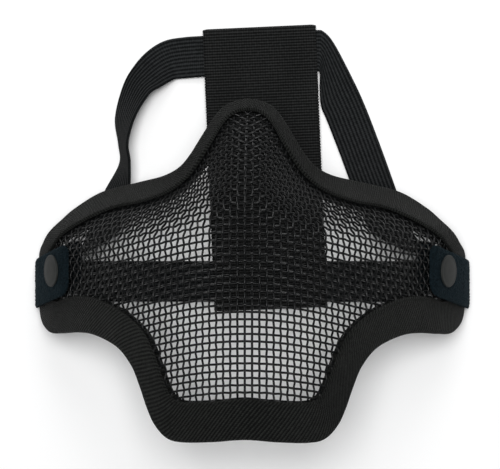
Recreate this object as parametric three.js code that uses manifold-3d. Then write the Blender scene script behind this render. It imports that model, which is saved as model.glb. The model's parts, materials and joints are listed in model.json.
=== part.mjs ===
// Half-face mask of woven wire mesh, bound in tape, with snap tabs at its sides and a
// strap harness that lies flat beneath it. Millimetres.
// The mask lies face up: +Z points out of the face, +Y from the chin to the nose bridge,
// and z = 0 is the table that its tab folds and its harness rest on.
// The outlines below are drawn about the middle of the face; the last lines move the
// whole mask so that its box stands centred on the origin.

import * as THREE from 'three';
import { mergeVertices } from 'three/addons/utils/BufferGeometryUtils.js';
import Module from 'manifold-3d';

const wasm = await Module();
wasm.setup();

// ---------------------------------------------------------------- driving dimensions
// Face form: half width at the side edges, and height of the mouth above them.
const HALF_WIDTH = 92;
const MOUTH_HEIGHT = 92;
// The half width that the outlines below are drawn for: they stretch with HALF_WIDTH.
const DRAWN_HALF_WIDTH = 95;
// Along the middle line the form is level between these two, and falls away past them.
const NOSE_START = 17;
const NOSE_FALL = 0.0163;
const CHIN_START = -30;
const CHIN_FALL = 0.004;
// Across the face the section changes from the broad muzzle to the narrow nose ridge.
const MUZZLE = { until: 12, power: 1.5, root: 0.667, crown: 3 };
const RIDGE = { from: 42, power: 1.05, root: 1.85, crown: 12 };

// Layers at the edge, measured from the middle of the mesh.
const MESH = 1.4;
const TAPE = 1.1;
const TAPE_SLACK = 0.4;
const EDGE_SLACK = 0.4;
const GAP = 0.4;

// Side tabs: a strip folded round the side edge and closed by a snap.
const TAB = 1.2;
const TAB_HEIGHT = 21.5;
const TAB_MIDDLE = 0.4;
const TAB_TIP_TURN = 62;
const TAB_INSIDE_TURN = 61;
const TAB_FOLD_TURN = 86;
// How far the tab climbs for each millimetre that it runs in from the side.
const TAB_SLANT = 0.4;

// Snap fastener, on an axis square to the mesh.
const SNAP_TURN = 67;
const CAP_RADIUS = 6.75;
const CAP_HEIGHT = 1.2;
const PLATE_RADIUS = 4.5;
const PLATE = 0.5;
const KNOB_RADIUS = 2;
const KNOB_HEIGHT = 1.7;
const POST_RADIUS = 1.2;
const SOCKET_HEIGHT = 1.2;
const FIT = 0.35;
const BULGE = 0.7;
// How far a drill runs past the faces of what it pierces.
const DRILL_PAST = 1;

// Harness webbing.
const STRAP_WIDTH = 18;
const STRAP = 1.4;
const PANEL = 1.2;
const PANEL_WIDTH = 50;
const PANEL_TOP = new THREE.Vector3(3.3, 107.3, 0);
const PANEL_PAST_STRAP = 3.3;
const PANEL_LEAN = THREE.MathUtils.degToRad(2.4);
const TUNNEL_HEIGHT = STRAP + 0.7;
const TUNNEL_LENGTH = STRAP_WIDTH + 4.8;
const SEAM = 4;
const REAR_STRAP_Y = -5;
// Room inside the mask's side for the tab and snap, before the ends of the straps.
const STRAP_INSET = 17;
// Room under a strap that lies on the table, and between the ends of the two straps.
const STRAP_CLEAR = 0.1;

// The edge of the mask and the hem of its tape, drawn flat as seen from the front, from
// the middle line to the side, for DRAWN_HALF_WIDTH: [edge x, edge y, hem x, hem y].
const UPPER_EDGE = [
  [0, 70, 0, 65.4],
  [6.8, 68.3, 4.9, 64.3],
  [11.4, 64.8, 9.3, 60.4],
  [18, 54.2, 14.2, 51.6],
  [22.6, 47, 19.2, 43.6],
  [27.5, 42, 24.8, 37.2],
  [35.1, 38.4, 33, 31.6],
  [46, 36.2, 44.5, 28],
  [59.8, 33.6, 57, 25.8],
  [68.2, 30.8, 66, 22.6],
  [77.5, 25, 74, 18.8],
  [84.1, 19.2, 79.8, 15.4],
  [90.4, 12.6, 85, 10.6],
  [94.5, 6.5, 89, 5],
  [94.9, TAB_MIDDLE + GAP / 2, 90, TAB_MIDDLE + GAP / 2],
];
const LOWER_EDGE = [
  [0, -62.8, 0, -47.8],
  [13, -64, 12.4, -49],
  [25, -64.8, 23.8, -49.8],
  [31.3, -63.7, 28.5, -48.6],
  [36.1, -58.9, 31.4, -44.6],
  [39, -53, 33.7, -39],
  [42.3, -44, 37, -30.7],
  [46.1, -35.8, 41.8, -22.4],
  [53, -28.5, 51, -15.2],
  [63.9, -24.2, 62, -10.7],
  [73, -23.6, 70.5, -9.7],
  [82, -24.7, 77.5, -10.7],
  [88.6, -24.6, 83, -12.4],
  [93.8, -17.5, 88.6, -9],
  [94.9, TAB_MIDDLE - GAP / 2, 90, TAB_MIDDLE - GAP / 2],
];

// ---------------------------------------------------------------- face surface
const { degToRad, lerp, smoothstep } = THREE.MathUtils;
const stretch = HALF_WIDTH / DRAWN_HALF_WIDTH;

function middleHeight(y) {
  const nose = Math.max(0, y - NOSE_START);
  const chin = Math.max(0, CHIN_START - y);
  return MOUTH_HEIGHT - NOSE_FALL * nose * nose - CHIN_FALL * chin * chin;
}

function surfaceHeight(x, y) {
  const ridge = smoothstep(y, MUZZLE.until, RIDGE.from);
  const power = lerp(MUZZLE.power, RIDGE.power, ridge);
  const root = lerp(MUZZLE.root, RIDGE.root, ridge);
  const crown = lerp(MUZZLE.crown, RIDGE.crown, ridge);
  const soften = (distance) => Math.hypot(distance, crown) - crown;
  const share = Math.min(1, soften(x) / soften(HALF_WIDTH));
  return middleHeight(y) * (1 - share ** power) ** root;
}

// The angle round the face, from straight out at the middle to the table at the side.
function turnAt(x, y) {
  return Math.atan2(x, surfaceHeight(Math.abs(x), y));
}

// The point of the middle of the mesh at an angle round the face and a height up it.
function surfacePoint(turn, y) {
  const slope = Math.abs(turn);
  let low = 0;
  let high = HALF_WIDTH;
  for (let step = 0; step < 40; step += 1) {
    const x = (low + high) / 2;
    if (x * Math.cos(slope) < surfaceHeight(x, y) * Math.sin(slope)) low = x;
    else high = x;
  }
  const z = low > 1e-6 ? low / Math.tan(slope) : surfaceHeight(0, y);
  return new THREE.Vector3(Math.sign(turn) * low, y, z);
}

function surfaceNormal(turn, y) {
  const step = degToRad(1);
  const edge = degToRad(89.8);
  const clamp = (angle) => THREE.MathUtils.clamp(angle, -edge, edge);
  const across = surfacePoint(clamp(turn + step), y).sub(surfacePoint(clamp(turn - step), y));
  const along = surfacePoint(turn, y + 1).sub(surfacePoint(turn, y - 1));
  return across.cross(along).normalize();
}

// ---------------------------------------------------------------- solids from two skins
// A closed solid between two grids of points with matching rows.
function slab(outer, inner) {
  const rows = outer.length;
  const columns = outer[0].length;
  const points = [...outer.flat(), ...inner.flat()];
  const faces = [];
  const quad = (a, b, c, d) => faces.push(a, b, c, a, c, d);
  const top = (row, column) => row * columns + column;
  const bottom = (row, column) => rows * columns + row * columns + column;
  for (let row = 0; row + 1 < rows; row += 1) {
    for (let column = 0; column + 1 < columns; column += 1) {
      quad(top(row, column), top(row + 1, column), top(row + 1, column + 1), top(row, column + 1));
      quad(bottom(row, column), bottom(row, column + 1), bottom(row + 1, column + 1), bottom(row + 1, column));
    }
    quad(top(row, 0), bottom(row, 0), bottom(row + 1, 0), top(row + 1, 0));
    const last = columns - 1;
    quad(top(row, last), top(row + 1, last), bottom(row + 1, last), bottom(row, last));
  }
  for (let column = 0; column + 1 < columns; column += 1) {
    quad(top(0, column), top(0, column + 1), bottom(0, column + 1), bottom(0, column));
    const last = rows - 1;
    quad(top(last, column), bottom(last, column), bottom(last, column + 1), top(last, column + 1));
  }
  const geometry = new THREE.BufferGeometry();
  geometry.setAttribute('position', new THREE.Float32BufferAttribute(points.flatMap((p) => p.toArray()), 3));
  geometry.setIndex(signedVolume(points, faces) < 0 ? faces.reverse() : faces);
  return geometry;
}

function signedVolume(points, faces) {
  let total = 0;
  const cross = new THREE.Vector3();
  for (let i = 0; i < faces.length; i += 3) {
    cross.crossVectors(points[faces[i + 1]], points[faces[i + 2]]);
    total += points[faces[i]].dot(cross);
  }
  return total;
}

// ---------------------------------------------------------------- cutting
function toSolid(geometry) {
  const bare = geometry.clone();
  bare.deleteAttribute('normal');
  bare.deleteAttribute('uv');
  const merged = mergeVertices(bare, 1e-4);
  return new wasm.Manifold(new wasm.Mesh({
    numProp: 3,
    vertProperties: new Float32Array(merged.attributes.position.array),
    triVerts: new Uint32Array(merged.index.array),
  }));
}

function cut(geometry, tools) {
  let solid = toSolid(geometry);
  for (const tool of tools) solid = solid.subtract(toSolid(tool));
  const mesh = solid.getMesh();
  const result = new THREE.BufferGeometry();
  result.setAttribute('position', new THREE.Float32BufferAttribute(mesh.vertProperties, 3));
  result.setIndex(new THREE.Uint32BufferAttribute(mesh.triVerts, 1));
  return result;
}

// ---------------------------------------------------------------- materials
const finish = (color, roughness, metalness = 0) => (
  new THREE.MeshStandardMaterial({ color, roughness, metalness })
);
const wire = finish(0x2b2d2d, 0.45, 0.6);
const tape = finish(0x161818, 0.85);
const webbing = finish(0x121416, 0.8);
const pile = finish(0x0e181e, 0.95);
const metal = finish(0x3c3e3c, 0.4, 0.7);

function named(name, geometry, material) {
  const mesh = new THREE.Mesh(geometry, material);
  mesh.name = name;
  return mesh;
}

// ---------------------------------------------------------------- mesh and tape
const EDGE_STEPS = 2;

// Samples an edge list from the left side over the middle to the right side. Each sample
// holds the edge and the hem as [turn, y], so that mesh and tape share their rows.
function sampleEdge(list) {
  const half = list.map(([edgeX, edgeY, hemX, hemY]) => [
    new THREE.Vector3(turnAt(edgeX * stretch, edgeY), edgeY, 0),
    new THREE.Vector3(turnAt(hemX * stretch, hemY), hemY, 0),
  ]);
  const mirror = (point) => new THREE.Vector3(-point.x, point.y, 0);
  const whole = [...half.slice(1).reverse().map((pair) => pair.map(mirror)), ...half];
  const curves = [0, 1].map((side) => {
    // A scaled turn keeps the curve even: one radian round the face is about its height.
    const points = whole.map((pair) => pair[side].clone().setX(pair[side].x * MOUTH_HEIGHT));
    return new THREE.CatmullRomCurve3(points, false, 'catmullrom', 0.5);
  });
  const count = (whole.length - 1) * EDGE_STEPS;
  return Array.from({ length: count + 1 }, (_, step) => {
    const [edge, hem] = curves.map((curve) => curve.getPoint(step / count));
    return { edge: [edge.x / MOUTH_HEIGHT, edge.y], hem: [hem.x / MOUTH_HEIGHT, hem.y] };
  });
}

const between = (a, b, share) => [lerp(a[0], b[0], share), lerp(a[1], b[1], share)];

function offset([turn, y], distance) {
  return surfacePoint(turn, y).addScaledVector(surfaceNormal(turn, y), distance);
}

const upperEdge = sampleEdge(UPPER_EDGE);
const lowerEdge = sampleEdge(LOWER_EDGE);

function makeMesh() {
  const openRows = 8;
  const leafShares = [0, 0.5, 1];
  const grid = (side) => upperEdge.map((upper, i) => {
    const lower = lowerEdge[i];
    const stations = leafShares.map((share) => between(lower.edge, lower.hem, share));
    for (let row = 1; row < openRows; row += 1) {
      stations.push(between(lower.hem, upper.hem, row / openRows));
    }
    stations.push(...leafShares.map((share) => between(upper.hem, upper.edge, share)));
    return stations.map((station) => offset(station, side * MESH / 2));
  });
  return slab(grid(1), grid(-1));
}

// A U of tape round the edge: outside leaf, turn over the edge, inside leaf.
function makeBinding(edge) {
  const near = MESH / 2 + TAPE_SLACK;
  const far = near + TAPE;
  const outward = edge.map(({ edge: here }, i) => {
    const before = surfacePoint(...edge[Math.max(0, i - 1)].edge);
    const after = surfacePoint(...edge[Math.min(edge.length - 1, i + 1)].edge);
    const run = after.sub(before);
    const inside = surfacePoint(...edge[i].hem).sub(surfacePoint(...here));
    const out = run.cross(surfaceNormal(...here)).normalize();
    return out.dot(inside) > 0 ? out.negate() : out;
  });
  const grid = (reach, past, round) => edge.map((sample, i) => {
    const leaf = (side) => [0, 0.5, 1].map((share) => (
      offset(between(sample.hem, sample.edge, share), side * reach)
    ));
    const corner = (side) => offset(sample.edge, side * round).addScaledVector(outward[i], past);
    return [...leaf(1), corner(1), corner(-1), ...leaf(-1).reverse()];
  });
  return slab(grid(far, EDGE_SLACK + TAPE, near), grid(near, EDGE_SLACK, near));
}

// ---------------------------------------------------------------- side tabs and snaps
const sideTurn = turnAt(UPPER_EDGE.at(-1)[0] * stretch, TAB_MIDDLE);
const bindingFar = MESH / 2 + TAPE_SLACK + TAPE;
const tabNear = bindingFar + GAP;
const tabFar = tabNear + TAB;
const foldReach = EDGE_SLACK + TAPE + GAP;
const snapX = surfacePoint(degToRad(SNAP_TURN), TAB_MIDDLE).x;

// The heights of the snap's layers above the middle of the mesh.
const plateBottom = MESH / 2 + GAP;
const plateTop = plateBottom + PLATE;
const socketBottom = plateTop + GAP;
const socketTop = socketBottom + SOCKET_HEIGHT;
const flapNear = socketTop + BULGE;
const flapFar = flapNear + TAB;
const capBottom = flapFar + GAP;
const backingTop = -tabFar - BULGE;
const backingBottom = backingTop - PLATE;

// A strip of the tab: one section round the side edge, carried up the face.
function tabStrip(side, outerSection, innerSection) {
  const climb = (point) => TAB_SLANT * (snapX - point.x);
  const grid = (section) => [-1, 1].map((end) => section.map((point) => (
    new THREE.Vector3(side * point.x, TAB_MIDDLE + climb(point) + end * TAB_HEIGHT / 2, point.z)
  )));
  return slab(grid(outerSection), grid(innerSection));
}

function sectionPoint(turnDegrees, height) {
  return offset([degToRad(turnDegrees), TAB_MIDDLE], height);
}

function foldPoint(height, past) {
  return offset([sideTurn, TAB_MIDDLE], height).add(new THREE.Vector3(0, 0, -past));
}

function makeTabBase(side, snap) {
  const inside = [TAB_INSIDE_TURN, SNAP_TURN, 73, 79, 83];
  const outside = [
    ...inside.map((turn) => sectionPoint(turn, -tabFar)),
    foldPoint(-tabFar, 0),
    foldPoint(-tabFar * 0.6, foldReach + TAB * 0.8),
    foldPoint(0, foldReach + TAB),
    foldPoint(tabFar * 0.6, foldReach + TAB * 0.8),
    foldPoint(tabFar, 0),
    sectionPoint(TAB_FOLD_TURN, tabFar),
  ];
  const lining = [
    ...inside.map((turn) => sectionPoint(turn, -tabNear)),
    foldPoint(-tabNear, 0),
    foldPoint(-tabNear * 0.55, foldReach),
    foldPoint(0, foldReach),
    foldPoint(tabNear * 0.55, foldReach),
    foldPoint(tabNear, 0),
    sectionPoint(TAB_FOLD_TURN, tabNear),
  ];
  const hole = snap.drill(POST_RADIUS + FIT, -tabFar - DRILL_PAST, -tabNear + DRILL_PAST);
  return cut(tabStrip(side, outside, lining), [hole]);
}

function makeTabFlap(side, snap) {
  const start = TAB_FOLD_TURN - 0.3;
  const raised = [79, 75, 71, SNAP_TURN, 63];
  const skin = (thickness) => [
    sectionPoint(start, tabNear + thickness),
    sectionPoint(83, lerp(tabNear, flapNear, 0.5) + thickness),
    ...raised.map((turn) => sectionPoint(turn, flapNear + thickness)),
    sectionPoint(TAB_TIP_TURN, flapNear - 0.3 + thickness),
    sectionPoint(TAB_TIP_TURN - 3, flapNear - 1 + thickness),
  ];
  const hole = snap.drill(POST_RADIUS + 2 * FIT, flapNear - DRILL_PAST, flapFar + DRILL_PAST);
  return cut(tabStrip(side, skin(TAB), skin(0)), [hole]);
}

// The frame of one snap: its parts are turned on its axis and placed together.
function makeSnap(side) {
  const turn = side * degToRad(SNAP_TURN);
  const centre = surfacePoint(turn, TAB_MIDDLE);
  const axis = surfaceNormal(turn, TAB_MIDDLE);
  const turned = new THREE.Quaternion().setFromUnitVectors(new THREE.Vector3(0, 0, 1), axis);
  const place = new THREE.Matrix4().compose(centre, turned, new THREE.Vector3(1, 1, 1));
  const lathe = (profile) => new THREE.LatheGeometry(
    profile.map(([radius, height]) => new THREE.Vector2(radius, height)), 20,
  ).rotateX(Math.PI / 2).applyMatrix4(place);
  const drill = (radius, bottom, top) => (
    lathe([[0, bottom], [radius, bottom], [radius, top], [0, top]])
  );
  return { lathe, drill };
}

function snapStud({ lathe }) {
  const knobTop = plateTop + KNOB_HEIGHT;
  return lathe([
    [0, backingBottom], [POST_RADIUS, backingBottom], [POST_RADIUS, plateBottom],
    [PLATE_RADIUS, plateBottom], [PLATE_RADIUS, plateTop], [KNOB_RADIUS * 0.8, plateTop],
    [KNOB_RADIUS, knobTop - 0.5], [KNOB_RADIUS * 0.7, knobTop], [0, knobTop],
  ]);
}

function snapBacking({ lathe }) {
  const hole = POST_RADIUS + FIT;
  return lathe([
    [hole, backingBottom], [PLATE_RADIUS, backingBottom + 0.15], [PLATE_RADIUS, backingTop],
    [hole, backingTop], [hole, backingBottom],
  ]);
}

function snapSocket({ lathe }) {
  const mouth = KNOB_RADIUS + FIT;
  return lathe([
    [mouth, socketBottom], [PLATE_RADIUS, socketBottom], [PLATE_RADIUS, socketTop - 0.3],
    [PLATE_RADIUS - 0.4, socketTop], [mouth, socketTop], [mouth, socketBottom],
  ]);
}

function snapCap({ lathe }) {
  const postEnd = Math.max(socketTop, plateTop + KNOB_HEIGHT) + GAP;
  const capTop = capBottom + CAP_HEIGHT;
  return lathe([
    [0, postEnd], [POST_RADIUS, postEnd], [POST_RADIUS, capBottom], [CAP_RADIUS, capBottom],
    [CAP_RADIUS, capBottom + 0.5], [CAP_RADIUS - 0.9, capTop - 0.1], [CAP_RADIUS - 2, capTop],
    [0, capTop],
  ]);
}

// ---------------------------------------------------------------- harness
// A strap through pairs of edge points: [x, y, z] of one edge, then of the other.
function strap(stations, steps) {
  const edges = [0, 1].map((side) => new THREE.CatmullRomCurve3(
    stations.map((pair) => new THREE.Vector3(...pair[side])), false, 'catmullrom', 0.5,
  ));
  const count = (stations.length - 1) * steps;
  const sample = (step) => edges.map((edge) => edge.getPoint(THREE.MathUtils.clamp(step, 0, count) / count));
  const rows = Array.from({ length: count + 1 }, (_, step) => {
    const [first, second] = sample(step);
    const middle = ([a, b]) => a.clone().add(b);
    const run = middle(sample(step + 0.5)).sub(middle(sample(step - 0.5)));
    const face = run.cross(second.clone().sub(first)).normalize();
    return { first, second, face };
  });
  const grid = (side) => rows.map(({ first, second, face }) => (
    [first, second].map((point) => point.clone().addScaledVector(face, side * STRAP / 2))
  ));
  return slab(grid(1), grid(-1));
}

const tunnelMiddle = PANEL + TUNNEL_HEIGHT / 2;
const lying = STRAP / 2 + STRAP_CLEAR;
const rearEnd = HALF_WIDTH - STRAP_INSET;
const rearFront = REAR_STRAP_Y + STRAP_WIDTH / 2;
const rearBack = REAR_STRAP_Y - STRAP_WIDTH / 2;
const panelLength = PANEL_TOP.y - rearBack + PANEL_PAST_STRAP;

// From the left tab, on edge behind the cheek, round the left bend, through the crown
// panel's sleeve, folded down on the right and on edge again at the right tab.
// The outer edge of the strap comes first, then the edge nearer the mask. The stations are
// drawn for a strap of DRAWN_STRAP_WIDTH whose ends stand at DRAWN_STRAP_END, and pass in
// front of the rear strap's end. A wider strap grows from its outer edge, except where it
// lies beside the crown panel and its inner edge stays.
const DRAWN_STRAP_WIDTH = 18;
const DRAWN_STRAP_END = 79.5;
const INNER_STAYS = true;
// The ends stand on edge over the last of these lengths, and bend there over the first.
const END_BEND = 18;
const END_STRAIGHT = 3;
const TOP_STRAP = [
  [[-79.6, rearBack + 4, 2.5], [-79.4, rearBack + 4, 20.4]],
  [[-79.5, rearFront - 4, 2.3], [-79.3, rearFront - 4, 20.2]],
  [[-78.6, rearFront + 3, 2.1], [-77.8, rearFront + 3, 19.9]],
  [[-76, 15, 1.5], [-67, 11, 15.6]],
  [[-71.5, 24.5, 1.1], [-56.5, 20, 9.2]],
  [[-66, 34.5, lying], [-53, 34.5, 12.9]],
  [[-58.4, 47, lying], [-52.4, 47.2, 17.8]],
  [[-58.8, 56, lying], [-53.3, 55.6, 17.9]],
  [[-60.4, 67.4, lying], [-50.2, 67, 15.7]],
  [[-56.8, 82.2, lying], [-44.4, 76.8, 12.7]],
  [[-51.6, 91.2, lying], [-39.4, 80.6, 8.8]],
  [[-45.4, 97.6, lying], [-34.4, 84, 3.8]],
  [[-38.4, 101.6, lying], [-32, 84.6, 1.6]],
  [[-30, 103, 1.5], [-28, 84.9, 1.9]],
  [[-21, 103.5, tunnelMiddle], [-21, 85.4, tunnelMiddle]],
  [[3, 104.7, tunnelMiddle], [3, 86.6, tunnelMiddle]],
  [[27, 105.8, tunnelMiddle], [27, 87.8, tunnelMiddle]],
  [[31.4, 105.4, 2.2], [29.9, 87, 2.2]],
  [[36.5, 99.8, 1.4], [30, 80.6, 1.6], INNER_STAYS],
  [[45, 83.6, lying], [30.6, 72.4, lying], INNER_STAYS],
  [[50, 72.6, lying], [33.2, 66, lying], INNER_STAYS],
  [[55.2, 59.2, lying], [38.4, 52.6, lying], INNER_STAYS],
  [[60.1, 45.8, lying], [43.3, 39.4, lying], INNER_STAYS],
  [[65, 33, lying], [49, 26, lying], INNER_STAYS],
  [[69.5, 23, 1], [52.5, 17, 2.2]],
  [[75.5, 13.5, 1.7], [65, 10, 14.6]],
  [[78.7, rearFront + 3.4, 2.1], [77.8, rearFront + 3, 19.9]],
  [[79.5, rearFront - 4, 2.3], [79.3, rearFront - 4, 20.2]],
  [[79.6, rearBack + 4, 2.5], [79.4, rearBack + 4, 20.4]],
];

// The stations as they are for this mask: one strap width across, with the ends beside
// the rear strap's. The stretch through the crown panel stays put.
function topStrapStations() {
  const shift = rearEnd + STRAP + STRAP_CLEAR - DRAWN_STRAP_END;
  const moved = ([x, y, z]) => {
    const share = smoothstep(Math.abs(x), DRAWN_STRAP_END - END_BEND, DRAWN_STRAP_END - END_STRAIGHT);
    return [x + Math.sign(x) * shift * share, y, z];
  };
  const across = (from, to) => from.map((value, i) => (
    lerp(value, to[i], STRAP_WIDTH / DRAWN_STRAP_WIDTH)
  ));
  return TOP_STRAP.map(([outer, inner, innerStays]) => (
    innerStays
      ? [moved(across(inner, outer)), moved(inner)]
      : [moved(outer), moved(across(outer, inner))]
  ));
}

function rearStrapStations() {
  const upright = rearEnd - STRAP / 2;
  const profile = [
    [upright, 19],
    [upright, 9],
    [upright - 1.9, 4],
    [upright - 7.3, tunnelMiddle],
    [upright - 19.3, tunnelMiddle],
    [0, tunnelMiddle],
  ];
  const station = (x, z) => [[x, rearFront, z], [x, rearBack, z]];
  const left = profile.map(([x, z]) => station(-x, z));
  const right = profile.slice(0, -1).reverse().map(([x, z]) => station(x, z));
  return [...left, ...right];
}

// The crown panel: one strip of webbing whose two ends turn under and are sewn up to it,
// which leaves a flat tunnel for a strap inside each turn.
function makeCrownPanel() {
  const bend = (PANEL + TUNNEL_HEIGHT) / 2;
  const middle = PANEL / 2 + bend;
  const sewnHeight = middle + bend - PANEL - GAP;
  const tunnelEnd = PANEL + TUNNEL_LENGTH;
  const turnedEnd = [
    [tunnelEnd + SEAM * 1.5, sewnHeight],
    [tunnelEnd + SEAM * 0.5, sewnHeight],
    [tunnelEnd, PANEL / 2],
  ];
  const arcSteps = 6;
  for (let step = 0; step <= arcSteps; step += 1) {
    const angle = Math.PI * step / arcSteps;
    turnedEnd.push([PANEL / 2 + bend * (1 - Math.sin(angle)), middle - bend * Math.cos(angle)]);
  }
  const otherEnd = turnedEnd.map(([along, up]) => [panelLength - along, up]).reverse();
  const line = [...turnedEnd, ...otherEnd].map(([along, up]) => new THREE.Vector2(along, up));
  const skin = (side) => line.map((point, i) => {
    const before = line[Math.max(0, i - 1)];
    const after = line[Math.min(line.length - 1, i + 1)];
    const run = after.clone().sub(before).normalize();
    const along = point.x - side * run.y * PANEL / 2;
    const up = point.y + side * run.x * PANEL / 2;
    return [-1, 1].map((end) => new THREE.Vector3(end * PANEL_WIDTH / 2, -along, up));
  });
  return slab(skin(1), skin(-1));
}

// ---------------------------------------------------------------- assembly
const face = new THREE.Group();
const sides = [{ word: 'left', side: -1 }, { word: 'right', side: 1 }].map((entry) => (
  { ...entry, snap: makeSnap(entry.side) }
));
const postHoles = sides.map(({ snap }) => (
  snap.drill(POST_RADIUS + FIT, -MESH - DRILL_PAST, MESH + DRILL_PAST)
));
face.add(named('mesh_shell', cut(makeMesh(), postHoles), wire));
face.add(named('upper_binding', makeBinding(upperEdge), tape));
face.add(named('lower_binding', makeBinding(lowerEdge), tape));
for (const { word, side, snap } of sides) {
  face.add(named(`tab_base_${word}`, makeTabBase(side, snap), pile));
  face.add(named(`tab_flap_${word}`, makeTabFlap(side, snap), pile));
  face.add(named(`snap_stud_${word}`, snapStud(snap), metal));
  face.add(named(`snap_backing_${word}`, snapBacking(snap), metal));
  face.add(named(`snap_socket_${word}`, snapSocket(snap), metal));
  face.add(named(`snap_cap_${word}`, snapCap(snap), metal));
}
// The face stands on the folds of its tabs.
face.position.z = -new THREE.Box3().setFromObject(face).min.z;

const harness = new THREE.Group();
harness.add(named('top_strap', strap(topStrapStations(), 3), webbing));
harness.add(named('rear_strap', strap(rearStrapStations(), 2), webbing));
const crownPanel = named('crown_panel', makeCrownPanel(), webbing);
crownPanel.position.copy(PANEL_TOP);
crownPanel.rotation.z = PANEL_LEAN;
harness.add(crownPanel);

const mask = new THREE.Group();
mask.add(face, harness);
mask.updateMatrixWorld(true);
const box = new THREE.Box3().setFromObject(mask);
mask.position.set(-(box.min.x + box.max.x) / 2, -(box.min.y + box.max.y) / 2, 0);

export default mask;
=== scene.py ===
"""Half-face mask of woven wire with taped edges, snap tabs and a strap harness.

Sizes here are in millimetres, drawn about the middle of the face, and place() turns them
into the frame's metres.
"""

import json
import math

import bpy
import numpy as np
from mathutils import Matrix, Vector


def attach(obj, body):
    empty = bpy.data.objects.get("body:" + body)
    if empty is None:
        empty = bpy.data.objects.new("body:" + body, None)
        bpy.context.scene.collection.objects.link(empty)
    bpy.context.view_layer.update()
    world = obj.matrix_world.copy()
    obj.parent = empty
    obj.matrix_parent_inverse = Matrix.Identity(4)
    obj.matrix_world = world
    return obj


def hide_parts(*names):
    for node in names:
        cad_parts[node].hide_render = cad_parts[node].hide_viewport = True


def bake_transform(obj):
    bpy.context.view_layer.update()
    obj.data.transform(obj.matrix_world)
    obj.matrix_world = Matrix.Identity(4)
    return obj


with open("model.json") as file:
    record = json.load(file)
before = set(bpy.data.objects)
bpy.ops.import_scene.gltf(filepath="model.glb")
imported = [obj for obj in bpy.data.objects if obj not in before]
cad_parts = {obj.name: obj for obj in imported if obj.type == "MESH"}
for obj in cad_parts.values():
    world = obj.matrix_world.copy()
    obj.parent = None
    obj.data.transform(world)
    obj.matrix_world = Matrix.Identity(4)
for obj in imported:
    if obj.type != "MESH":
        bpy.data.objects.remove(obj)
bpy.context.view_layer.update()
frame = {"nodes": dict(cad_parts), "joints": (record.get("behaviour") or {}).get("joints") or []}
joints = {joint["name"]: joint for joint in frame["joints"]}

MM = 0.001
random = np.random.default_rng(7)

# ------------------------------------------------------------------ sizes
HALF_WIDTH = 92
DRAWN_HALF_WIDTH = 95
MOUTH_HEIGHT = 92
NOSE_START = 17
NOSE_FALL = 0.0163
CHIN_START = -30
CHIN_FALL = 0.004
MUZZLE = {"power": 1.5, "root": 0.667, "crown": 3}
RIDGE = {"power": 1.05, "root": 1.85, "crown": 12}
MUZZLE_UNTIL = 12
RIDGE_FROM = 42

MESH = 1.4
TAPE = 1.1
SLACK = 0.4
GAP = 0.4
TAPE_NEAR = MESH / 2 + SLACK
TAPE_FAR = TAPE_NEAR + TAPE
TAPE_REACH = SLACK + TAPE

TAB = 1.2
TAB_HEIGHT = 21.5
TAB_MIDDLE = 0.4
TAB_NEAR = TAPE_FAR + GAP
TAB_FOLD_TURN = 86
TAB_SLANT = 0.4
SNAP_TURN = 67
SNAP_STACK = 1.7
BULGE = 0.7
FLAP_NEAR = MESH / 2 + 2 * GAP + SNAP_STACK + BULGE
CAP_BOTTOM = FLAP_NEAR + TAB + GAP
CAP_HEIGHT = 1.2
CAP_RADIUS = 6.75

STRAP_WIDTH = 18
STRAP = 1.4
PANEL = 1.2
PANEL_WIDTH = 50
PANEL_TOP = (3.3, 107.3)
PANEL_PAST_STRAP = 3.3
PANEL_LEAN = math.radians(2.4)
TUNNEL_HEIGHT = STRAP + 0.7
TUNNEL_LENGTH = STRAP_WIDTH + 4.8
SEAM = 4
REAR_STRAP_Y = -5
STRAP_INSET = 17
HARNESS_AXIS = (0, -5, 8)

WIRE = 0.92
PITCH = 2.85
PANEL_RIB = 1.24
STRAP_RIBS = 11

# Edge and hem of the tape, flat from the front: [edge x, edge y, hem x, hem y].
UPPER_EDGE = [
    (0, 70, 0, 65.4),
    (6.8, 68.3, 4.9, 64.3),
    (11.4, 64.8, 9.3, 60.4),
    (18, 54.2, 14.2, 51.6),
    (22.6, 47, 19.2, 43.6),
    (27.5, 42, 24.8, 37.2),
    (35.1, 38.4, 33, 31.6),
    (46, 36.2, 44.5, 28),
    (59.8, 33.6, 57, 25.8),
    (68.2, 30.8, 66, 22.6),
    (77.5, 25, 74, 18.8),
    (84.1, 19.2, 79.8, 15.4),
    (90.4, 12.6, 85, 10.6),
    (94.5, 6.5, 89, 5),
    (94.9, TAB_MIDDLE + GAP / 2, 90, TAB_MIDDLE + GAP / 2),
]
LOWER_EDGE = [
    (0, -62.8, 0, -47.8),
    (13, -64, 12.4, -49),
    (25, -64.8, 23.8, -49.8),
    (31.3, -63.7, 28.5, -48.6),
    (36.1, -58.9, 31.4, -44.6),
    (39, -53, 33.7, -39),
    (42.3, -44, 37, -30.7),
    (46.1, -35.8, 41.8, -22.4),
    (53, -28.5, 51, -15.2),
    (63.9, -24.2, 62, -10.7),
    (73, -23.6, 70.5, -9.7),
    (82, -24.7, 77.5, -10.7),
    (88.6, -24.6, 83, -12.4),
    (93.8, -17.5, 88.6, -9),
    (94.9, TAB_MIDDLE - GAP / 2, 90, TAB_MIDDLE - GAP / 2),
]

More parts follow.
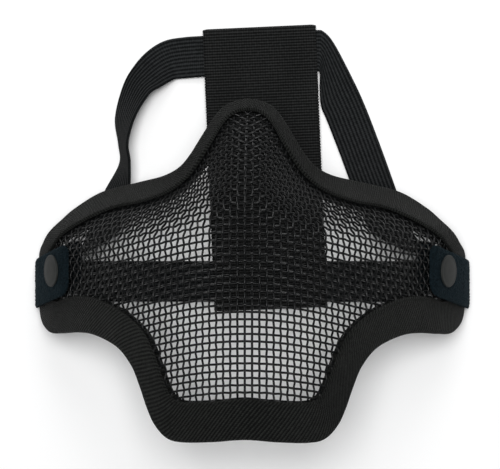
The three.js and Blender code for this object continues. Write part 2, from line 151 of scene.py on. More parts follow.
# The top strap: pairs of points on its outer edge and on the edge nearer the mask.
TUNNEL_MIDDLE = PANEL + TUNNEL_HEIGHT / 2
STRAP_CLEAR = 0.1
LYING = STRAP / 2 + STRAP_CLEAR
DRAWN_STRAP_END = 79.5
END_BEND = 18
END_STRAIGHT = 3
REAR_END = HALF_WIDTH - STRAP_INSET
REAR_FRONT = REAR_STRAP_Y + STRAP_WIDTH / 2
REAR_BACK = REAR_STRAP_Y - STRAP_WIDTH / 2
PANEL_LENGTH = PANEL_TOP[1] - REAR_BACK + PANEL_PAST_STRAP
TOP_STRAP = [
    [(-79.6, REAR_BACK + 4, 2.5), (-79.4, REAR_BACK + 4, 20.4)],
    [(-79.5, REAR_FRONT - 4, 2.3), (-79.3, REAR_FRONT - 4, 20.2)],
    [(-78.6, REAR_FRONT + 3, 2.1), (-77.8, REAR_FRONT + 3, 19.9)],
    [(-76, 15, 1.5), (-67, 11, 15.6)],
    [(-71.5, 24.5, 1.1), (-56.5, 20, 9.2)],
    [(-66, 34.5, LYING), (-53, 34.5, 12.9)],
    [(-58.4, 47, LYING), (-52.4, 47.2, 17.8)],
    [(-58.8, 56, LYING), (-53.3, 55.6, 17.9)],
    [(-60.4, 67.4, LYING), (-50.2, 67, 15.7)],
    [(-56.8, 82.2, LYING), (-44.4, 76.8, 12.7)],
    [(-51.6, 91.2, LYING), (-39.4, 80.6, 8.8)],
    [(-45.4, 97.6, LYING), (-34.4, 84, 3.8)],
    [(-38.4, 101.6, LYING), (-32, 84.6, 1.6)],
    [(-30, 103, 1.5), (-28, 84.9, 1.9)],
    [(-21, 103.5, TUNNEL_MIDDLE), (-21, 85.4, TUNNEL_MIDDLE)],
    [(3, 104.7, TUNNEL_MIDDLE), (3, 86.6, TUNNEL_MIDDLE)],
    [(27, 105.8, TUNNEL_MIDDLE), (27, 87.8, TUNNEL_MIDDLE)],
    [(31.4, 105.4, 2.2), (29.9, 87, 2.2)],
    [(36.5, 99.8, 1.4), (30, 80.6, 1.6)],
    [(45, 83.6, LYING), (30.6, 72.4, LYING)],
    [(50, 72.6, LYING), (33.2, 66, LYING)],
    [(55.2, 59.2, LYING), (38.4, 52.6, LYING)],
    [(60.1, 45.8, LYING), (43.3, 39.4, LYING)],
    [(65, 33, LYING), (49, 26, LYING)],
    [(69.5, 23, 1), (52.5, 17, 2.2)],
    [(75.5, 13.5, 1.7), (65, 10, 14.6)],
    [(78.7, REAR_FRONT + 3.4, 2.1), (77.8, REAR_FRONT + 3, 19.9)],
    [(79.5, REAR_FRONT - 4, 2.3), (79.3, REAR_FRONT - 4, 20.2)],
    [(79.6, REAR_BACK + 4, 2.5), (79.4, REAR_BACK + 4, 20.4)],
]


# ------------------------------------------------------------------ face surface
def blend_share(y):
    share = np.clip((y - MUZZLE_UNTIL) / (RIDGE_FROM - MUZZLE_UNTIL), 0, 1)
    return share * share * (3 - 2 * share)


def middle_height(y):
    nose = np.maximum(0, y - NOSE_START)
    chin = np.maximum(0, CHIN_START - y)
    return MOUTH_HEIGHT - NOSE_FALL * nose**2 - CHIN_FALL * chin**2


def surface_height(x, y):
    ridge = blend_share(y)
    power, root, crown = (
        MUZZLE[key] + (RIDGE[key] - MUZZLE[key]) * ridge for key in ("power", "root", "crown")
    )
    soft = np.hypot(x, crown) - crown
    full = np.hypot(HALF_WIDTH, crown) - crown
    share = np.minimum(1, soft / full)
    return middle_height(y) * (1 - share**power) ** root


def surface_point(turn, y):
    """Points of the middle of the mesh, from the angle round the face and the height up it."""
    turn, y = np.broadcast_arrays(np.asarray(turn, float), np.asarray(y, float))
    slope = np.abs(turn)
    low = np.zeros_like(slope)
    high = np.full_like(slope, HALF_WIDTH)
    for _ in range(36):
        x = (low + high) / 2
        inside = x * np.cos(slope) < surface_height(x, y) * np.sin(slope)
        low = np.where(inside, x, low)
        high = np.where(inside, high, x)
    z = np.where(slope > 1e-4, low / np.tan(np.maximum(slope, 1e-4)), surface_height(0, y))
    return np.stack([np.sign(turn) * low, y, z], axis=-1)


def unit(vectors):
    return vectors / np.maximum(np.linalg.norm(vectors, axis=-1, keepdims=True), 1e-12)


def surface_normal(turn, y):
    step = math.radians(1)
    edge = math.radians(89.8)
    across = surface_point(np.clip(turn + step, -edge, edge), y)
    across = across - surface_point(np.clip(turn - step, -edge, edge), y)
    along = surface_point(turn, y + 1) - surface_point(turn, y - 1)
    return unit(np.cross(across, along))


def turn_at(x, y):
    return np.arctan2(x, surface_height(np.abs(x), y))


def raised(turn, y, height):
    return surface_point(turn, y) + surface_normal(turn, y) * np.asarray(height)[..., None]


# ------------------------------------------------------------------ place in the frame
harness_place = np.array(joints["harness_swing"]["pos_m"]) / MM - np.array(HARNESS_AXIS)
flap_axis = np.array(joints["flap_right_open"]["pos_m"]) / MM
fold = raised(math.radians(TAB_FOLD_TURN), TAB_MIDDLE, TAB_NEAR + TAB)
FACE_LIFT = np.array([0, 0, flap_axis[2] - fold[2]])


def place(points, on_face=True):
    """From the drawing's millimetres to the frame's metres."""
    lift = FACE_LIFT if on_face else 0
    return (np.asarray(points, float) + harness_place + lift) * MM


# ------------------------------------------------------------------ mesh helpers
def make_piece(name, points, faces, material, uvs=None):
    mesh = bpy.data.meshes.new(name)
    mesh.from_pydata(np.asarray(points, float).tolist(), [], faces)
    if uvs is not None:
        layer = mesh.uv_layers.new(name="UVMap")
        layer.data.foreach_set("uv", np.asarray(uvs, np.float32).ravel())
    mesh.polygons.foreach_set("use_smooth", [True] * len(mesh.polygons))
    mesh.materials.append(material)
    mesh.update()
    piece = bpy.data.objects.new(name, mesh)
    bpy.context.scene.collection.objects.link(piece)
    return piece


def loft(name, rings, material, along, across, on_face=True):
    """A closed skin over rings of points, with its ends capped. along and across are the
    distances in millimetres that the material's pattern follows."""
    rings = np.asarray(rings, float)
    rows, columns = rings.shape[:2]
    faces, uvs = [], []
    for row in range(rows - 1):
        for column in range(columns):
            right = (column + 1) % columns
            faces.append((
                row * columns + column,
                (row + 1) * columns + column,
                (row + 1) * columns + right,
                row * columns + right,
            ))
            for r, c in ((row, column), (row + 1, column), (row + 1, column + 1), (row, column + 1)):
                uvs.append((along[r], across[c]))
    for row, order in ((0, 1), (rows - 1, -1)):
        faces.append(tuple(row * columns + c for c in range(columns))[::order])
        uvs.extend([(along[row], across[c]) for c in range(columns)][::order])
    piece = make_piece(name, place(rings.reshape(-1, 3), on_face), faces, material, uvs)
    fix_outward(piece)
    return piece


def fix_outward(piece):
    """Turns the faces out if the closed skin was wound the other way."""
    mesh = piece.data
    volume = 0.0
    mesh.calc_loop_triangles()
    for triangle in mesh.loop_triangles:
        a, b, c = (mesh.vertices[i].co for i in triangle.vertices)
        volume += a.dot(b.cross(c))
    if volume < 0:
        mesh.flip_normals()


def path_length(points):
    steps = np.linalg.norm(np.diff(points, axis=0), axis=1)
    return np.concatenate([[0], np.cumsum(steps)])


def smooth_curve(points, count_per_span):
    """Uniform Catmull-Rom through the points."""
    points = np.asarray(points, float)
    first = 2 * points[0] - points[1]
    last = 2 * points[-1] - points[-2]
    padded = np.vstack([first, points, last])
    out = []
    for span in range(len(points) - 1):
        p0, p1, p2, p3 = padded[span:span + 4]
        for step in range(count_per_span):
            t = step / count_per_span
            out.append(0.5 * (
                2 * p1 + (p2 - p0) * t + (2 * p0 - 5 * p1 + 4 * p2 - p3) * t**2
                + (3 * p1 - p0 - 3 * p2 + p3) * t**3
            ))
    out.append(points[-1])
    return np.array(out)


def resample(points, spacing, guide=None):
    """Evenly spaced rows of a path. guide is the part of each row that is measured."""
    points = np.asarray(points, float)
    length = path_length(points if guide is None else guide)
    count = max(2, round(length[-1] / spacing))
    wanted = np.linspace(0, length[-1], count + 1)
    flat = points.reshape(len(points), -1)
    columns = [np.interp(wanted, length, flat[:, i]) for i in range(flat.shape[1])]
    return np.stack(columns, axis=-1).reshape(len(wanted), *points.shape[1:]), wanted


# ------------------------------------------------------------------ materials
class Nodes:
    """Short names for building a material's nodes."""

    def __init__(self, name, **sockets):
        self.material = bpy.data.materials.new(name)
        self.material.use_nodes = True
        self.tree = self.material.node_tree
        self.shader = self.tree.nodes["Principled BSDF"]
        for socket, value in sockets.items():
            self.shader.inputs[socket.replace("_", " ")].default_value = value

    def node(self, kind, **settings):
        made = self.tree.nodes.new(kind)
        for key, value in settings.items():
            setattr(made, key, value)
        return made

    def join(self, source, target):
        if isinstance(source, (int, float, tuple)):
            target.default_value = source
        else:
            self.tree.links.new(source, target)

    def math(self, operation, a, b=0.0):
        made = self.node("ShaderNodeMath", operation=operation)
        self.join(a, made.inputs[0])
        self.join(b, made.inputs[1])
        return made.outputs[0]

    def uv(self):
        made = self.node("ShaderNodeSeparateXYZ")
        self.join(self.node("ShaderNodeUVMap", uv_map="UVMap").outputs["UV"], made.inputs[0])
        return made.outputs["X"], made.outputs["Y"]

    def wave(self, coordinate, pitch):
        turns = self.math("MULTIPLY", coordinate, 2 * math.pi / pitch)
        return self.math("SINE", turns)

    def noise(self, scale, detail=3.0):
        made = self.node("ShaderNodeTexNoise")
        made.inputs["Scale"].default_value = scale
        made.inputs["Detail"].default_value = detail
        place_node = self.node("ShaderNodeTexCoord")
        self.join(place_node.outputs["Object"], made.inputs["Vector"])
        return made.outputs["Fac"]

    def colour(self, share, dark, light, low=0.0, high=1.0):
        ramp = self.node("ShaderNodeValToRGB")
        ramp.color_ramp.elements[0].position = low
        ramp.color_ramp.elements[1].position = high
        ramp.color_ramp.elements[0].color = (*dark, 1)
        ramp.color_ramp.elements[1].color = (*light, 1)
        self.join(share, ramp.inputs[0])
        self.join(ramp.outputs["Color"], self.shader.inputs["Base Color"])

    def bump(self, height, distance, strength=1.0):
        made = self.node("ShaderNodeBump")
        made.inputs["Distance"].default_value = distance
        made.inputs["Strength"].default_value = strength
        self.join(height, made.inputs["Height"])
        self.join(made.outputs["Normal"], self.shader.inputs["Normal"])


def wire_material():
    nodes = Nodes("wire", Roughness=0.32, Specular_IOR_Level=0.22)
    grain = nodes.noise(900)
    nodes.colour(grain, (0.002, 0.0022, 0.0024), (0.006, 0.0065, 0.0068), 0.3, 0.75)
    nodes.bump(grain, 0.00006, 0.4)
    return nodes.material


def woven_height(nodes, ribs, threads, fuzz, patch_scale, patches):
    """Ribs with finer threads between them, fuzz, and broad uneven patches. The materials use it for
    the bump and also for the colour, where it paints the rib crowns lighter as painted highlight and
    the hollows darker as painted shade.
    """
    weave = nodes.math("ADD", nodes.math("MULTIPLY", ribs, 0.75), nodes.math("MULTIPLY", threads, 0.25))
    fine = nodes.math("SUBTRACT", nodes.noise(900), 0.5)
    broad = nodes.math("SUBTRACT", nodes.noise(patch_scale), 0.5)
    rough = nodes.math("ADD", weave, nodes.math("MULTIPLY", fine, fuzz))
    return nodes.math("ADD", rough, nodes.math("MULTIPLY", broad, patches))


def tape_material(name, slant):
    """Ribbed binding tape, whose ribs move along it by slant for each millimetre across."""
    nodes = Nodes(name, Roughness=0.85, Specular_IOR_Level=0.12, Sheen_Weight=0.02)
    along, across = nodes.uv()
    lean = nodes.math("ADD", along, nodes.math("MULTIPLY", across, slant))
    ribs = nodes.wave(lean, 1.2 * math.hypot(1, slant))
    threads = nodes.wave(nodes.math("SUBTRACT", across, nodes.math("MULTIPLY", along, 0.2)), 0.75)
    rough = woven_height(nodes, ribs, threads, 2.2, 45, 1.2)
    # Colour from the weave's height: rib crowns painted lighter (painted highlight) and hollows painted
    # darker (painted shade), plus random tone from the fuzz and the broad patches.
    share = nodes.math("ADD", nodes.math("MULTIPLY", rough, 0.42), 0.33)
    nodes.colour(share, (0.0004, 0.0006, 0.0005), (0.022, 0.024, 0.0215), 0.12, 0.95)
    nodes.bump(rough, 0.0003, 1.0)
    return nodes.material


def webbing_material(name, ribs_cross, rib_pitch, rib_shift, thread_pitch, tint):
    """Ribbed webbing or elastic. Its ribs cross its length or run along it, with fine threads the other
    way. tint is added to the plain black of its light parts, which are the rib crowns painted lighter
    as painted highlight; the hollows are painted darker as painted shade."""
    nodes = Nodes(name, Roughness=0.8, Specular_IOR_Level=0.12, Sheen_Weight=0.02)
    along, across = nodes.uv()
    over_ribs, along_ribs = (along, across) if ribs_cross else (across, along)
    ribs = nodes.wave(nodes.math("ADD", over_ribs, rib_shift), rib_pitch)
    threads = nodes.wave(along_ribs, thread_pitch)
    rough = woven_height(nodes, ribs, threads, 2.0, 40, 1.0)
    # Colour from the weave's height: rib crowns painted lighter (painted highlight) and hollows painted
    # darker (painted shade), plus random tone from the fuzz and the broad patches.
    share = nodes.math("ADD", nodes.math("MULTIPLY", rough, 0.42), 0.36)
    dark = tuple(0.0004 + extra * 0.3 for extra in tint)
    light = tuple(0.025 + extra for extra in tint)
    nodes.colour(share, dark, light, 0.12, 0.95)
    nodes.bump(rough, 0.0001, 0.8)
    return nodes.material


def pile_material():
    nodes = Nodes("pile", Roughness=0.95, Specular_IOR_Level=0.05, Sheen_Weight=0.03)
    nodes.shader.inputs["Sheen Tint"].default_value = (0.5, 0.75, 0.9, 1)
    tuft = nodes.noise(1300, 4.0)
    nodes.colour(tuft, (0.0012, 0.0028, 0.0038), (0.0065, 0.0125, 0.0165), 0.3, 0.75)
    nodes.bump(tuft, 0.0004, 1.0)
    return nodes.material


def cap_material():
    nodes = Nodes("snap_cap", Roughness=0.62, Specular_IOR_Level=0.25)
    wear = nodes.noise(350, 6.0)
    nodes.colour(wear, (0.0095, 0.011, 0.0102), (0.0165, 0.018, 0.0168), 0.3, 0.7)
    nodes.bump(wear, 0.00003, 0.4)
    return nodes.material


def snap_metal_material():
    nodes = Nodes("snap_metal", Roughness=0.35, Metallic=0.9)
    wear = nodes.noise(500, 4.0)
    nodes.colour(wear, (0.16, 0.16, 0.16), (0.3, 0.3, 0.3), 0.3, 0.7)
    nodes.bump(wear, 0.00002, 0.4)
    return nodes.material


wire_paint = wire_material()
upper_tape = tape_material("tape", 0.25)
lower_tape = tape_material("bias_tape", 0.9)
elastic_cloth = webbing_material(
    "elastic", False, STRAP_WIDTH / STRAP_RIBS, 0.0, 0.9, (0.0, 0.002, 0.003)
)
panel_cloth = webbing_material(
    "webbing", True, PANEL_RIB, PANEL_RIB / 4, 1.1, (0.0, 0.0008, 0.0006)
)
pile_cloth = pile_material()
cap_paint = cap_material()
snap_metal = snap_metal_material()


# ------------------------------------------------------------------ edge and hem
def edge_curves(rows):
    """The edge and the hem from the left side to the right, as (turn, y) rows."""
    half = np.array(rows, float)
    half[:, [0, 2]] *= HALF_WIDTH / DRAWN_HALF_WIDTH
    sides = []
    for x, y in ((half[:, 0], half[:, 1]), (half[:, 2], half[:, 3])):
        turn = turn_at(x, y)
        right = np.stack([turn * MOUTH_HEIGHT, y], axis=-1)
        left = (right * [-1, 1])[:0:-1]
        curve = smooth_curve(np.vstack([left, right]), 10)
        sides.append(curve / [MOUTH_HEIGHT, 1])
    return sides


upper = edge_curves(UPPER_EDGE)
lower = edge_curves(LOWER_EDGE)


# ------------------------------------------------------------------ woven wire
def arc_table():
    """Distance round the face at each height, from the middle line to each turn."""
    heights = np.arange(-72, 78, 1.0)
    turns = np.radians(np.linspace(0, 89.4, 220))
    rows = []
    for y in heights:
        rows.append(path_length(surface_point(turns, np.full_like(turns, y))))
    return heights, turns, np.array(rows)


arc_heights, arc_turns, arc_rows = arc_table()


def turn_for(distance, y):
    """The turn at a distance round the face from the middle line."""
    place_in_table = np.clip(y - arc_heights[0], 0, len(arc_heights) - 1.001)
    row = place_in_table.astype(int)
    share = place_in_table - row
    result = np.empty_like(distance)
    for i, (d, r, s) in enumerate(zip(np.abs(distance), row, share)):
        near = np.interp(d, arc_rows[r], arc_turns)
        far = np.interp(d, arc_rows[r + 1], arc_turns)
        result[i] = near + (far - near) * s
    return result * np.sign(distance)


middle_y = np.arange(-90, 120, 0.25)
middle_arc = np.concatenate([[0], np.cumsum(np.hypot(0.25, np.diff(middle_height(middle_y))))])
middle_arc -= np.interp(0, middle_y, middle_arc)


def droop(distance):
    """How far the rows of the formed mesh sink towards the sides of the face."""
    return 14 * (1 - np.exp(-((distance / 56) ** 2)))


def inside_edge(turn, y):
    """True where the mesh is, which ends halfway under the tape."""
    outline = []
    for (edge, hem), back in ((upper, False), (lower, True)):
        curve = 0.65 * edge + 0.35 * hem
        outline.append(curve[::-1] if back else curve)
    outline = np.vstack(outline)
    inside = np.zeros(len(turn), bool)
    previous = outline[-1]
    for point in outline:
        crosses = (point[1] > y) != (previous[1] > y)
        rise = previous[1] - point[1]
        where = point[0] + (previous[0] - point[0]) * (y - point[1]) / (rise if rise else 1e-9)
        inside ^= crosses & (turn < where)
        previous = point
    return inside


WIRE_SIDES = 6
STEPS_PER_PITCH = 4


def wire_runs(distance, y, crimp):
    """The stretches of one wire that lie inside the edge, as centre lines and normals."""
    turn = turn_for(distance, y)
    inside = inside_edge(turn, y)
    line = surface_point(turn, y)
    normal = surface_normal(turn, y)
    line = line + normal * crimp[:, None]
    edges = np.flatnonzero(np.diff(np.concatenate([[0], inside.astype(int), [0]])))
    for start, end in zip(edges[::2], edges[1::2]):
        if end - start >= 2 * STEPS_PER_PITCH:
            yield line[start:end], normal[start:end]


def wire_piece(name, runs):
    points, faces = [], []
    angles = np.arange(WIRE_SIDES) * 2 * math.pi / WIRE_SIDES
    base = 0
    for line, normal in runs:
        run = unit(np.gradient(line, axis=0))
        beside = unit(np.cross(run, normal))
        above = np.cross(beside, run)
        ring = (
            np.cos(angles)[None, :, None] * beside[:, None]
            + np.sin(angles)[None, :, None] * above[:, None]
        )
        points.append((line[:, None] + ring * WIRE / 2).reshape(-1, 3))
        for row in range(len(line) - 1):
            for side in range(WIRE_SIDES):
                a = base + row * WIRE_SIDES + side
                b = base + row * WIRE_SIDES + (side + 1) % WIRE_SIDES
                faces.append((a, b, b + WIRE_SIDES, a + WIRE_SIDES))
        last = base + (len(line) - 1) * WIRE_SIDES
        faces.append(tuple(base + side for side in range(WIRE_SIDES))[::-1])
        faces.append(tuple(last + side for side in range(WIRE_SIDES)))
        base += len(line) * WIRE_SIDES
    return make_piece(name, place(np.vstack(points)), faces, wire_paint)


def woven_mesh():
    reach = int(arc_rows.max() / PITCH) + 1
    crimp = WIRE * 0.52
    rows_up = int(middle_arc[-1] / PITCH)
    rows_down = int(-middle_arc[0] / PITCH)
    weft_runs, warp_runs = [], []
    for row in range(-rows_down, rows_up + 1):
        count = np.arange(-reach, reach + 0.01, 1 / STEPS_PER_PITCH)
        distance = count * PITCH
        y = np.interp(row * PITCH, middle_arc, middle_y) - droop(distance)
        wave = crimp * np.cos(math.pi * count) * (-1) ** row
        weft_runs.extend(wire_runs(distance, y, wave))
    for column in range(-reach, reach + 1):
        count = np.arange(-rows_down, rows_up + 0.01, 1 / STEPS_PER_PITCH)
        distance = np.full_like(count, column * PITCH)
        y = np.interp(count * PITCH, middle_arc, middle_y) - droop(distance)
        wave = -crimp * np.cos(math.pi * count) * (-1) ** column
        warp_runs.extend(wire_runs(distance, y, wave))
    for name, runs in (("weft_wires", weft_runs), ("warp_wires", warp_runs)):
        piece = wire_piece(name, runs)
        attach(piece, "mask")
        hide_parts("mesh_shell")


# ------------------------------------------------------------------ bound edge
def binding(name, curves, node, cloth):
    edge_line = surface_point(curves[0][:, 0], curves[0][:, 1])
    both = np.stack([curves[0], curves[1]], axis=1)
    rows, along = resample(both, 1.3, edge_line)
    edge, hem = rows[:, 0], rows[:, 1]
    edge_points = surface_point(edge[:, 0], edge[:, 1])
    hem_points = surface_point(hem[:, 0], hem[:, 1])
    width = np.linalg.norm(edge_points - hem_points, axis=1)
    edge_normal = surface_normal(edge[:, 0], edge[:, 1])
    run = unit(np.gradient(edge_points, axis=0))
    outward = unit(np.cross(run, edge_normal))
    outward *= np.where(np.sum(outward * (hem_points - edge_points), axis=1) > 0, -1, 1)[:, None]

    # Distances from the hem and heights over the tape's plain level: a thin raised hem.
    hem_shape = [(0, -0.95), (0.1, -0.3), (0.35, 0.22), (0.75, 0.3), (1.1, 0.1), (1.5, -0.14), (2.1, 0)]
    leaf_steps = 7
    puckers = 0.1 * np.sin(along / 2.3 + 1.5 * np.sin(along / 9))

    def leaf(side):
        columns = []
        for distance, height in hem_shape:
            share = np.minimum(distance / width, 0.6)
            columns.append((share, height))
        start = columns[-1][0]
        for step in range(1, leaf_steps + 1):
            columns.append((start + (1 - start) * step / leaf_steps, 0.0))
        out = []
        for share, height in columns:
            spot = hem + (edge - hem) * share[:, None]
            level = side * (TAPE_FAR + height + puckers * np.sin(math.pi * share) * (height == 0))
            out.append(raised(spot[:, 0], spot[:, 1], level))
        return out

    def over_edge():
        out = []
        for step in range(1, 8):
            angle = math.pi / 2 - math.pi * step / 8
            lift = TAPE_FAR * math.sin(angle)
            past = TAPE_REACH * math.cos(angle) ** 0.8
            out.append(edge_points + edge_normal * lift + outward * past)
        return out

    def lining():
        out = []
        for side, shares in ((-1, (0.02, 0.5, 1.0)), (1, (1.0, 0.5, 0.02))):
            for share in shares:
                spot = hem + (edge - hem) * share
                level = np.full(len(spot), side * TAPE_NEAR * 0.95)
                out.append(raised(spot[:, 0], spot[:, 1], level))
        return out

    columns = [*leaf(1), *over_edge(), *leaf(-1)[::-1], *lining()]
    rings = np.stack(columns, axis=1)
    across = path_length(rings[len(rings) // 4])
    across = np.append(across, across[-1] + 1)
    piece = loft(name, rings, cloth, along, across)
    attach(piece, "mask")
    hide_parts(node)


# ------------------------------------------------------------------ side tabs
def tab_section():
    """The tab's middle layer as (x, z) points, from inside the face round the side edge to
    the flap's tip."""
    middle_near = TAB_NEAR + TAB / 2
    flap_middle = FLAP_NEAR + TAB / 2
    inside = [(turn, -middle_near) for turn in (61, 65, SNAP_TURN, 71, 75, 79, 82, 85)]
    outside = [(86, middle_near), (84.5, middle_near + 0.25), (82, middle_near + 0.8)]
    outside += [(turn, flap_middle) for turn in (79, 75, 71, SNAP_TURN, 63)]
    outside += [(61.5, flap_middle - 0.35), (59.6, flap_middle - 0.9)]
    edge_turn = upper[0][-1, 0]
    edge_point = surface_point(edge_turn, TAB_MIDDLE)
    edge_normal = surface_normal(edge_turn, TAB_MIDDLE)
    reach = TAPE_REACH + GAP + TAB / 2
    fold = []
    for angle in np.linspace(-math.pi / 2, math.pi / 2, 9):
        past = reach * max(0, math.cos(angle)) ** 0.8
        fold.append(edge_point + edge_normal * middle_near * math.sin(angle) - [0, 0, past])
    leaves = [
        [raised(math.radians(turn), TAB_MIDDLE, height) for turn, height in leaf]
        for leaf in (inside, outside)
    ]
    return np.array([*leaves[0], *fold, *leaves[1]])[:, [0, 2]]


def tab(word, side):
    """A strip of pile cloth round the side edge: its skin and its long edges are uneven."""
    pile_depth = 0.11
    fringe_depth = 0.16
    curve, along = resample(smooth_curve(tab_section(), 5), 0.45)
    run = unit(np.gradient(curve, axis=0))
    normal = np.stack([run[:, 1], -run[:, 0]], axis=-1)
    snap_x = surface_point(math.radians(SNAP_TURN), TAB_MIDDLE)[0]
    middle = TAB_MIDDLE + TAB_SLANT * (snap_x - curve[:, 0])
    from_tip = along[-1] - along
    corner = 4.5
    near_end = np.clip(np.minimum(from_tip, along) / corner, 0, 1)
    half = TAB_HEIGHT / 2 - 0.3 - corner * (1 - np.sqrt(1 - (1 - near_end) ** 2))
    columns = 56
    spread = np.sin(np.linspace(-1, 1, columns) * math.pi / 2)
    ring = [(share, skin) for skin in (1, -1) for share in spread[::skin]]
    rings = np.empty((len(curve), len(ring), 3))
    tip_thin = 0.35 + 0.65 * np.clip(np.minimum(from_tip, along) / 1.2, 0, 1) ** 0.5
    for i, (share, skin) in enumerate(ring):
        rounding = math.sqrt(max(0.02, 1 - abs(share) ** 14))
        pile = random.normal(0, pile_depth, len(curve))
        offset = skin * TAB / 2 * rounding * tip_thin + pile * rounding
        spot = curve + normal * offset[:, None]
        fringe = random.normal(0, fringe_depth, len(curve)) * (abs(share) > 0.97)
        rings[:, i, 0] = side * spot[:, 0]
        rings[:, i, 1] = middle + share * half + fringe
        rings[:, i, 2] = spot[:, 1]
    across = np.arange(len(ring) + 1) * TAB_HEIGHT / columns
    piece = loft(f"tab_{word}", rings, pile_cloth, along, across)
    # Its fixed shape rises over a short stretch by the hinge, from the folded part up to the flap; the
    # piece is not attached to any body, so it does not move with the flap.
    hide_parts(f"tab_base_{word}", f"tab_flap_{word}")
    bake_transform(piece)


def snap_cap(word, side):
    """A pressed cap: domed top, rolled rim."""
    turn = side * math.radians(SNAP_TURN)
    centre = surface_point(turn, TAB_MIDDLE)
    axis = surface_normal(turn, TAB_MIDDLE)
    first = unit(np.cross(axis, [0, 1, 0]))
    second = np.cross(axis, first)
    profile = [(0.01, 0.0), (CAP_RADIUS - 0.9, 0.0), (CAP_RADIUS - 0.3, 0.08)]
    for step in range(7):
        angle = -math.pi / 2 + math.pi * step / 6
        profile.append((CAP_RADIUS - 0.45 + 0.45 * math.cos(angle), 0.5 + 0.42 * math.sin(angle)))
    profile += [(CAP_RADIUS - 1.1, 0.86), (CAP_RADIUS - 1.7, 0.98)]
    profile += [(4, 1.12), (2, 1.19), (0.01, CAP_HEIGHT)]
    angles = np.linspace(0, 2 * math.pi, 72, endpoint=False)
    rings = []
    for radius, height in profile:
        circle = np.cos(angles)[:, None] * first + np.sin(angles)[:, None] * second
        rings.append(centre + axis * (CAP_BOTTOM + height) + circle * radius)
    along = path_length(np.array(profile))
    across = np.arange(len(angles) + 1) * 0.5
    piece = loft(f"snap_cap_{word}_dome", rings, cap_paint, along, across)
    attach(piece, f"flap_{word}")
    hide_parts(f"snap_cap_{word}")


# ------------------------------------------------------------------ harness
def strap_piece(name, stations, node):
    """Elastic with raised ribs along it. stations are pairs of edge points."""
    pairs = smooth_curve(np.array(stations, float).reshape(len(stations), 6), 12)
    pairs = pairs.reshape(-1, 2, 3)
    rows, along = resample(pairs, 1.0, pairs.mean(axis=1))
    first, second = rows[:, 0], rows[:, 1]
    middle = (first + second) / 2
    wide = second - first
    face = unit(np.cross(np.gradient(middle, axis=0), wide))
    columns = STRAP_RIBS * 4
    ring = []
    for skin in (1, -1):
        shares = np.linspace(0, 1, columns + 1)
        shares = shares if skin > 0 else shares[::-1]
        for share in shares:
            rib = 0.5 + 0.5 * math.cos(2 * math.pi * STRAP_RIBS * (share - 0.5 / STRAP_RIBS))
            edge = min(1, math.sqrt(max(0.0, 1 - (2 * share - 1) ** 24)) + 0.25)
            ring.append((share, skin * STRAP / 2 * (0.68 + 0.3 * rib) * edge))
    rings = np.stack([
        first + wide * share + face * height for share, height in ring
    ], axis=1)
    across = np.append([share * STRAP_WIDTH for share, _ in ring], 0)
    piece = loft(name, rings, elastic_cloth, along, across, on_face=False)
    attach(piece, "harness")
    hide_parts(node)


def rear_strap_stations():
    upright = REAR_END - STRAP / 2
    profile = [
        (upright, 19),
        (upright, 9),
        (upright - 1.9, 4),
        (upright - 7.3, TUNNEL_MIDDLE),
        (upright - 19.3, TUNNEL_MIDDLE),
        (0, TUNNEL_MIDDLE),
    ]
    left = [[(-x, REAR_FRONT, z), (-x, REAR_BACK, z)] for x, z in profile]
    right = [[(x, REAR_FRONT, z), (x, REAR_BACK, z)] for x, z in profile[-2::-1]]
    return left + right


def top_strap_stations():
    """The drawn stations, with the ends moved in beside the rear strap's."""
    shift = REAR_END + STRAP + STRAP_CLEAR - DRAWN_STRAP_END
    near, far = DRAWN_STRAP_END - END_BEND, DRAWN_STRAP_END - END_STRAIGHT
    stations = np.array(TOP_STRAP, float)
    x = stations[:, :, 0]
    share = np.clip((np.abs(x) - near) / (far - near), 0, 1)
    stations[:, :, 0] += np.sign(x) * shift * share * share * (3 - 2 * share)
    return stations


def crown_panel():
    """One strip of ribbed webbing, whose two ends turn under into sleeves for the straps."""
    bend = (PANEL + TUNNEL_HEIGHT) / 2
    middle = PANEL / 2 + bend
    sewn = middle + bend - PANEL - GAP
    tunnel_end = PANEL + TUNNEL_LENGTH
    end = [
        (tunnel_end + SEAM * 1.5, sewn),
        (tunnel_end + SEAM * 0.5, sewn),
        (tunnel_end, PANEL / 2),
    ]
    for step in range(13):
        angle = math.pi * step / 12
        end.append((PANEL / 2 + bend * (1 - math.sin(angle)), middle - bend * math.cos(angle)))
    other = [(PANEL_LENGTH - along, up) for along, up in reversed(end)]
    line, along = resample(np.array(end + other, float), PANEL_RIB / 4)
    run = unit(np.gradient(line, axis=0))
    normal = np.stack([-run[:, 1], run[:, 0]], axis=-1)
    rib = np.cos(2 * math.pi * along / PANEL_RIB)
    columns = 30
    spread = np.linspace(-1, 1, columns + 1)
    ring = [(share, 1) for share in spread] + [(share, -1) for share in spread[::-1]]
    rings = np.empty((len(line), len(ring), 3))
    cos, sin = math.cos(PANEL_LEAN), math.sin(PANEL_LEAN)
    for i, (share, skin) in enumerate(ring):
        selvedge = abs(share) > 0.999
        height = PANEL / 2 * (0.45 if selvedge else 0.86) + 0.14 * rib * (0 if selvedge else 1)
        spot = line + normal * (skin * height)[:, None]
        x = share * (PANEL_WIDTH / 2 - 0.15 + 0.15 * rib * selvedge)
        local_x, local_y = x + np.zeros(len(line)), -spot[:, 0]
        rings[:, i, 0] = PANEL_TOP[0] + cos * local_x - sin * local_y
        rings[:, i, 1] = PANEL_TOP[1] + sin * local_x + cos * local_y
        rings[:, i, 2] = spot[:, 1]
    across = np.append([share * PANEL_WIDTH / 2 for share, _ in ring], 0)
    piece = loft("crown_panel_webbing", rings, panel_cloth, along, across, on_face=False)
    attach(piece, "harness")
    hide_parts("crown_panel")


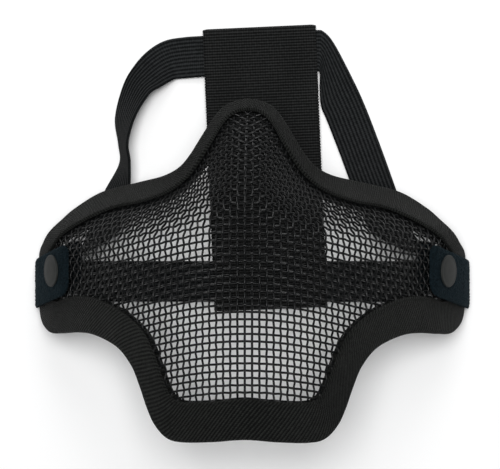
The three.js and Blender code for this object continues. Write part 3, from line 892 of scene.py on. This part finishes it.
# ------------------------------------------------------------------ stage
def stage():
    """A pale paper floor, a dim studio and two soft lamps overhead."""
    reach = 3.0
    drop = 0.4 * MM
    corners = [(x * reach, y * reach, 0) for x, y in ((-1, -1), (1, -1), (1, 1), (-1, 1))]
    mesh = bpy.data.meshes.new("floor")
    mesh.from_pydata(corners, [], [(0, 1, 2, 3)])
    floor = bpy.data.objects.new("floor", mesh)
    floor.location.z = -drop
    bpy.context.scene.collection.objects.link(floor)
    paper = Nodes("floor", Roughness=0.9)
    paper.colour(paper.noise(4), (0.93, 0.93, 0.93), (0.95, 0.95, 0.95))
    mesh.materials.append(paper.material)

    world = bpy.data.worlds.new("studio")
    bpy.context.scene.world = world
    world.use_nodes = True
    sky = world.node_tree.nodes["Background"]
    sky.inputs["Color"].default_value = (0.97, 0.985, 1, 1)
    sky.inputs["Strength"].default_value = 0.17
    for name, spot, size, power in (
        ("key", (0.0, 0.12, 1.3), 0.5, 14.5),
        ("fill", (0.1, 0.9, 1.0), 0.6, 4),
    ):
        light = bpy.data.lights.new(name, "AREA")
        light.size = size
        light.energy = power
        lamp = bpy.data.objects.new(name, light)
        lamp.location = spot
        lamp.rotation_euler = (-Vector(spot)).to_track_quat("-Z", "Y").to_euler()
        bpy.context.scene.collection.objects.link(lamp)


def camera():
    """Almost straight above, a little to the right of the face."""
    over = Vector((0.022, -0.0052, 0.75))
    aim = Vector((-0.0008, -0.0052, 0))
    field = 0.2213
    data = bpy.data.cameras.new("camera")
    data.sensor_width = 36
    data.lens = data.sensor_width * over.z / field
    data.clip_start = 0.01
    seen_from = bpy.data.objects.new("camera", data)
    seen_from.location = over
    seen_from.rotation_euler = (0, math.atan2(over.x - aim.x, over.z), 0)
    bpy.context.scene.collection.objects.link(seen_from)
    bpy.context.scene.camera = seen_from


# ------------------------------------------------------------------ build
camera()
woven_mesh()
binding("upper_binding_tape", upper, "upper_binding", upper_tape)
binding("lower_binding_tape", lower, "lower_binding", lower_tape)
for word, side in (("left", -1), ("right", 1)):
    tab(word, side)
    snap_cap(word, side)
    for part in ("stud", "backing", "socket"):
        node = frame["nodes"][f"snap_{part}_{word}"]
        node.data.materials.clear()
        node.data.materials.append(snap_metal)
strap_piece("top_strap_elastic", top_strap_stations(), "top_strap")
strap_piece("rear_strap_elastic", rear_strap_stations(), "rear_strap")
crown_panel()
stage()
bpy.context.scene.view_settings.view_transform = "Standard"
